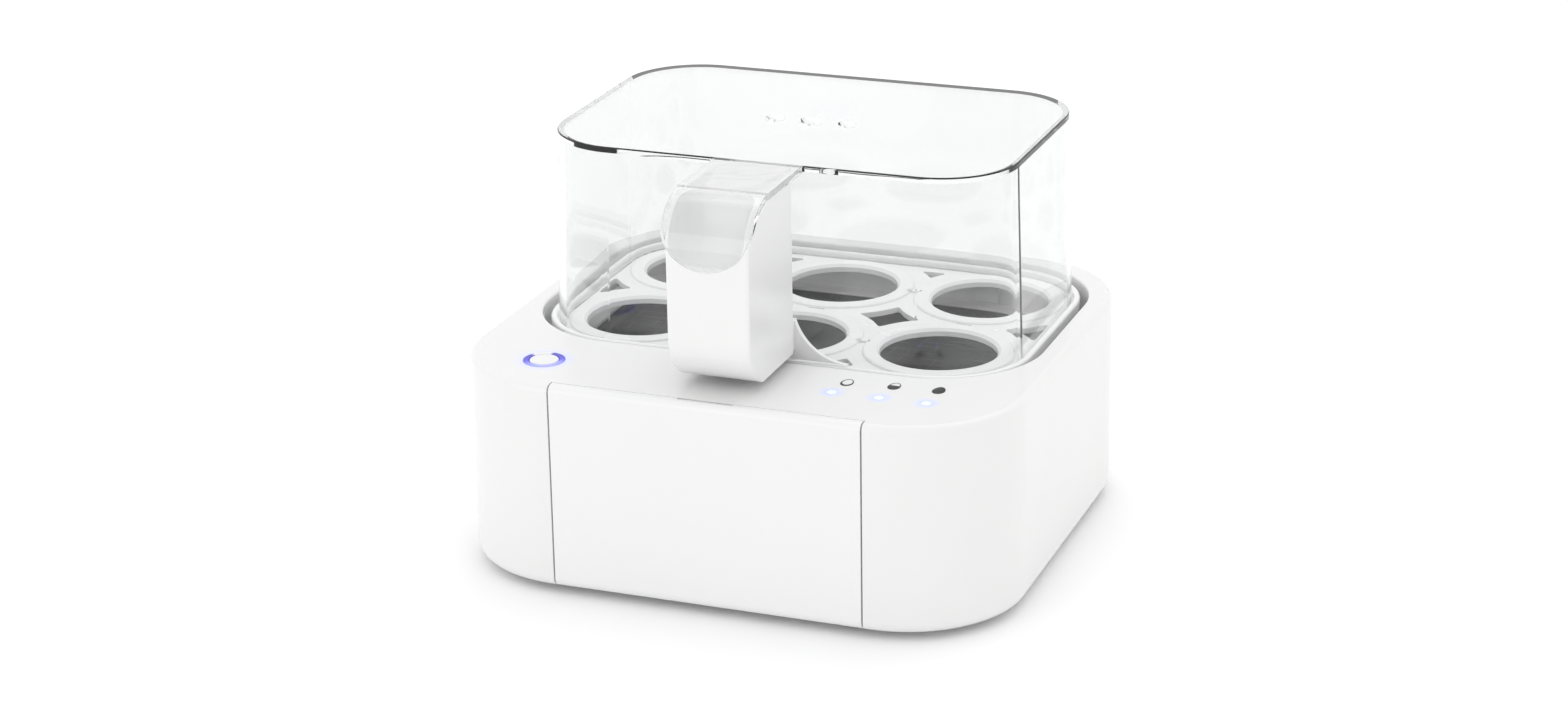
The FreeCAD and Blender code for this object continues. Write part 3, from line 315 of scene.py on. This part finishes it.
def lamp_window(name, tint):
    """Lit light pipe: nearly white in the middle, bluer at its rim."""
    recipe = Recipe(name, Roughness=0.25)
    nearest = None
    for centre in LAMPS:
        away = recipe.distance_to(centre)
        nearest = away if nearest is None else recipe.math("MINIMUM", nearest, away)
    uneven = recipe.math("ADD", nearest, recipe.span(recipe.noise(0.0008, 2.0), -0.0001, 0.0001))
    share = recipe.span(uneven, 0.0, 1.0, 0.0, 0.0019)
    lit = recipe.tones(share, (0.0, tint), (0.55, (0.62, 0.82, 1.0)), (1.0, (0.34, 0.42, 0.95)))
    recipe.shade(Base_Color=recipe.tones(share, (0.0, grey(0.6)), (1.0, (0.3, 0.34, 0.5))))
    recipe.shade(Emission_Color=lit, Emission_Strength=0.95)
    return recipe


def printed_ink():
    recipe = Recipe("black_ink")
    recipe.shade(
        Base_Color=recipe.tones(recipe.noise(0.0009, 4.0), (0.3, grey(0.010)), (0.7, grey(0.022))),
        Roughness=recipe.span(recipe.noise(0.0005, 3.0), 0.38, 0.55),
        Normal=recipe.bump(recipe.noise(0.0002, 3.0), 0.000004),
    )
    return recipe


def circuit_board():
    """Green solder mask over copper tracks, with a faint glass weave."""
    recipe = Recipe("solder_mask", Coat_Weight=0.4)
    tracks = recipe.node(
        "ShaderNodeTexBrick",
        {"Vector": recipe.place, "Scale": 160.0, "Mortar Size": 0.06, "Color1": (0, 0, 0, 1),
         "Color2": (0.1, 0.1, 0.1, 1), "Mortar": (1, 1, 1, 1)},
    ).outputs["Fac"]
    weave = recipe.math("MULTIPLY", recipe.bands(0.0006, "X"), recipe.bands(0.0006, "Y"))
    mask = recipe.tones(recipe.noise(0.008, 3.0), (0.3, (0.010, 0.085, 0.032)), (0.7, (0.016, 0.12, 0.045)))
    recipe.shade(
        Base_Color=recipe.blend(recipe.math("MULTIPLY", tracks, 0.7), mask, (0.035, 0.21, 0.07, 1.0)),
        Roughness=recipe.span(weave, 0.30, 0.42),
        Normal=recipe.bump(weave, 0.000006, recipe.bump(tracks, 0.00003)),
    )
    return recipe


def woven_sleeve():
    """Glass-fibre sleeve over a wire: two crossing sets of threads."""
    recipe = Recipe("glass_sleeve", Sheen_Weight=0.25)
    threads = recipe.math("MULTIPLY", recipe.bands(0.0009, "DIAGONAL"), recipe.bands(0.0011, "Y", 0.6))
    recipe.shade(
        Base_Color=recipe.tones(threads, (0.0, (0.46, 0.44, 0.38)), (0.6, (0.74, 0.72, 0.66))),
        Roughness=recipe.span(threads, 0.85, 0.62),
        Normal=recipe.bump(threads, 0.00012),
    )
    return recipe


def flat_cable():
    recipe = Recipe("ribbon_jacket")
    ribs = recipe.bands(0.0026, "X")
    recipe.shade(
        Base_Color=recipe.tones(ribs, (0.1, (0.20, 0.21, 0.22)), (0.7, (0.36, 0.37, 0.39))),
        Roughness=recipe.span(recipe.noise(0.003, 3.0), 0.45, 0.6),
        Normal=recipe.bump(ribs, 0.0002),
    )
    return recipe


def heated_steel():
    """Element tube: grey steel with straw and blue heat tints in slow patches."""
    recipe = metal("heat_tinted_steel", (0.22, 0.20, 0.19), (0.36, 0.33, 0.29), (0.32, 0.55), (1.0, 1.0, 0.2))
    tint = recipe.tones(
        recipe.noise(0.03, 3.0),
        (0.30, (0.24, 0.22, 0.26)),
        (0.48, (0.34, 0.27, 0.18)),
        (0.70, (0.30, 0.30, 0.31)),
    )
    recipe.shade(Base_Color=tint)
    return recipe


def glazed_ceramic():
    recipe = Recipe("glazed_ceramic", Coat_Weight=0.6)
    pits = recipe.span(recipe.specks(0.0016), 1.0, 0.0, 0.05, 0.14)
    glaze = recipe.tones(recipe.noise(0.006, 4.0), (0.3, (0.66, 0.63, 0.57)), (0.7, (0.76, 0.74, 0.69)))
    recipe.shade(
        Base_Color=glaze,
        Roughness=recipe.span(recipe.noise(0.002, 4.0), 0.22, 0.36),
        Normal=recipe.bump(pits, -0.00004),
    )
    return recipe


def stage_floor():
    recipe = Recipe("studio_floor", Specular_IOR_Level=0.1)
    recipe.shade(
        Base_Color=recipe.tones(recipe.noise(0.25, 4.0), (0.3, grey(0.955)), (0.7, grey(0.965))),
        Roughness=recipe.span(recipe.noise(0.05, 3.0), 0.80, 0.95),
    )
    return recipe


def dress_nodes():
    """Gives every node of the frame its finish."""
    white = (grey(0.785, 0.001), grey(0.795, 0.001))
    matte = dict(peel=0.000003, grain=0.000006)
    gloss_white = moulded("gloss_white", *white, (0.18, 0.22), Specular_IOR_Level=0.5)
    # painted light: a lighter copy of the white plastic, brightening the tray that sits under the lid
    tray_white_painted_lighter = moulded("tray_white_painted_lighter", grey(0.805), grey(0.815), (0.22, 0.28), Specular_IOR_Level=0.5)
    panel_white = moulded("panel_white", grey(0.790), grey(0.800), GLOSS, Specular_IOR_Level=0.5)
    well_white = moulded("well_white", grey(0.82), grey(0.85), (0.38, 0.5), **matte)
    base_white = moulded("base_white", grey(0.74), grey(0.78), (0.42, 0.55), **matte)
    rubber = moulded("foot_rubber", grey(0.16), grey(0.22), (0.62, 0.78), peel=0.000004, grain=0.000012)
    soft = (grey(0.46, 0.004), grey(0.52, 0.004))
    silicone = moulded("seal_silicone", *soft, (0.45, 0.6), Subsurface_Weight=0.1)
    black = moulded("black_moulding", grey(0.018), grey(0.030), (0.40, 0.55), **matte)
    blue = moulded("blue_moulding", (0.015, 0.06, 0.26), (0.025, 0.085, 0.33), (0.38, 0.5), **matte)
    yellow = moulded("yellow_case", (0.62, 0.36, 0.03), (0.72, 0.44, 0.05), (0.35, 0.48), **matte)
    zinc = metal("zinc_plate", grey(0.52), (0.60, 0.60, 0.57), (0.26, 0.42), (1.0, 6.0, 1.0))
    spring = metal("spring_wire", grey(0.42), grey(0.52), (0.22, 0.36), (1.0, 1.0, 8.0))
    can = metal("aluminium_case", grey(0.68), grey(0.76), (0.24, 0.38), (0.3, 4.0, 4.0))
    board = circuit_board()
    finishes = {
        housing_plastic(): ["housing_shell"],
        panel_white: ["front_panel"],
        gloss_white: ["button_cap", "lid_handle"],
        tray_white_painted_lighter: ["egg_tray"],
        well_white: ["well_liner"],
        base_white: ["base_plate"],
        rubber: ["foot_front_left", "foot_front_right", "foot_rear_left", "foot_rear_right"],
        silicone: ["dish_seal"],
        heating_plate(): ["heating_dish"],
        clear_plastic(): ["lid_shell"],
        ring_light(): ["button_ring"],
        lamp_window("lamp_pipe", (0.92, 1.0, 1.0)): ["led_window_soft", "led_window_medium",
                                                     "led_window_hard"],
        lamp_window("lamp_chip", (0.75, 0.9, 1.0)): ["status_leds", "ring_leds"],
        zinc: ["base_screws", "dish_studs", "clamp_bar_left", "clamp_bar_right", "clamp_nuts",
               "element_clips", "thermostat_bracket", "control_board_screws", "power_board_screws",
               "handle_screws"],
        spring: ["button_spring"],
        can: ["thermal_fuse"],
        heated_steel(): ["heater_element"],
        glazed_ceramic(): ["element_insulators", "fuse_clip"],
        black: ["thermostat", "control_chip", "buzzer", "tact_switch", "power_transformer", "cable_gland",
                "gland_nut"],
        blue: ["relay", "terminal_block"],
        yellow: ["film_capacitor"],
        board: ["control_board", "power_board"],
        woven_sleeve(): ["heater_leads"],
        flat_cable(): ["ribbon_cable"],
    }
    for recipe, names in finishes.items():
        for name in names:
            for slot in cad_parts[name].material_slots:
                slot.material = recipe.material


# ------------------------------------------------------------------ printed marks
def egg_point(turn):
    """Point on a mark's egg outline, narrow end to the back."""
    along = math.sin(turn)
    return Vector((MARK_HALF_W * math.cos(turn) * (1 - MARK_TAPER * along), MARK_HALF_L * along, 0))


def printed_egg(name, lamp, offset, bare, ink):
    """A film of ink in the shape of an egg, with a bare middle that shows the deck, or none."""
    centre = centre_of(lamp) + Vector((*offset, 0))
    turns = [2 * math.pi * index / MARK_POINTS for index in range(MARK_POINTS)]
    outer = [egg_point(turn) for turn in turns]
    mesh = bmesh.new()

    def loop(points, z):
        return [mesh.verts.new((centre.x + p.x, centre.y + p.y, z)) for p in points]

    def band(first, second):
        for index in range(MARK_POINTS):
            after = (index + 1) % MARK_POINTS
            mesh.faces.new((first[index], first[after], second[after], second[index]))

    low, high = DECK_Z - MARK_INK / 2, DECK_Z + MARK_INK
    outer_low, outer_high = loop(outer, low), loop(outer, high)
    band(outer_low, outer_high)
    if bare:
        share, shift, lowest = bare
        inner = [Vector((p.x * share, max(p.y * share + shift, lowest), 0)) for p in outer]
        inner_low, inner_high = loop(inner, low), loop(inner, high)
        band(outer_high, inner_high)
        band(inner_high, inner_low)
        band(inner_low, outer_low)
    else:
        mesh.faces.new(outer_high)
        mesh.faces.new(list(reversed(outer_low)))
    bmesh.ops.recalc_face_normals(mesh, faces=mesh.faces)
    data = bpy.data.meshes.new(name)
    mesh.to_mesh(data)
    mesh.free()
    data.materials.append(ink.material)
    piece = bpy.data.objects.new(name, data)
    bpy.context.scene.collection.objects.link(piece)
    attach(piece, "base")


def make_marks():
    ink = printed_ink()
    for name, (lamp, offset, bare) in MARKS.items():
        printed_egg(name, lamp, offset, bare, ink)


# ------------------------------------------------------------------ studio
def make_floor():
    mesh = bmesh.new()
    corners = [(-1, -1), (1, -1), (1, 1), (-1, 1)]
    mesh.faces.new([mesh.verts.new((x * FLOOR_HALF, y * FLOOR_HALF, 0)) for x, y in corners])
    data = bpy.data.meshes.new("studio_floor")
    mesh.to_mesh(data)
    mesh.free()
    data.materials.append(stage_floor().material)
    floor = bpy.data.objects.new("studio_floor", data)
    bpy.context.scene.collection.objects.link(floor)


def make_lights():
    for name, (place, aim, width, height, watts) in LIGHTS.items():
        data = bpy.data.lights.new(name, "AREA")
        data.shape = "RECTANGLE"
        data.size = width
        data.size_y = height
        data.energy = watts
        light = bpy.data.objects.new(name, data)
        light.location = place
        light.rotation_euler = (Vector(place) - Vector(aim)).to_track_quat("Z", "Y").to_euler()
        bpy.context.scene.collection.objects.link(light)


def make_world():
    """White studio all round."""
    world = bpy.data.worlds.new("studio")
    bpy.context.scene.world = world
    world.use_nodes = True
    background = world.node_tree.nodes["Background"]
    background.inputs["Color"].default_value = (1.0, 1.0, 1.0, 1.0)
    background.inputs["Strength"].default_value = SKY_STRENGTH


def make_camera():
    azimuth, elevation, roll = (math.radians(a) for a in (CAMERA_AZIMUTH, CAMERA_ELEVATION, CAMERA_ROLL))
    back = Vector((
        math.sin(azimuth) * math.cos(elevation),
        -math.cos(azimuth) * math.cos(elevation),
        math.sin(elevation),
    ))
    level = Vector((math.cos(azimuth), math.sin(azimuth), 0))
    upright = back.cross(level)
    right = math.cos(roll) * level + math.sin(roll) * upright
    up = math.cos(roll) * upright - math.sin(roll) * level
    data = bpy.data.cameras.new("camera")
    data.sensor_width = 36.0
    data.lens = CAMERA_LENS
    data.clip_start = 0.05
    camera = bpy.data.objects.new("camera", data)
    place = Matrix((right, up, back)).transposed().to_4x4()
    place.translation = CAMERA_TARGET + back * CAMERA_DISTANCE
    camera.matrix_world = place
    bpy.context.scene.collection.objects.link(camera)
    bpy.context.scene.camera = camera


def set_bounces():
    """Light that runs along inside the clear roof to its rim is reflected many times."""
    cycles = bpy.context.scene.cycles
    cycles.max_bounces = LID_BOUNCES
    cycles.transmission_bounces = LID_BOUNCES
    cycles.glossy_bounces = LID_BOUNCES // 2
    cycles.transparent_max_bounces = LID_BOUNCES // 2


make_camera()
make_world()
make_lights()
make_floor()
dress_nodes()
make_marks()
bpy.context.scene.view_settings.view_transform = "Standard"
set_bounces()
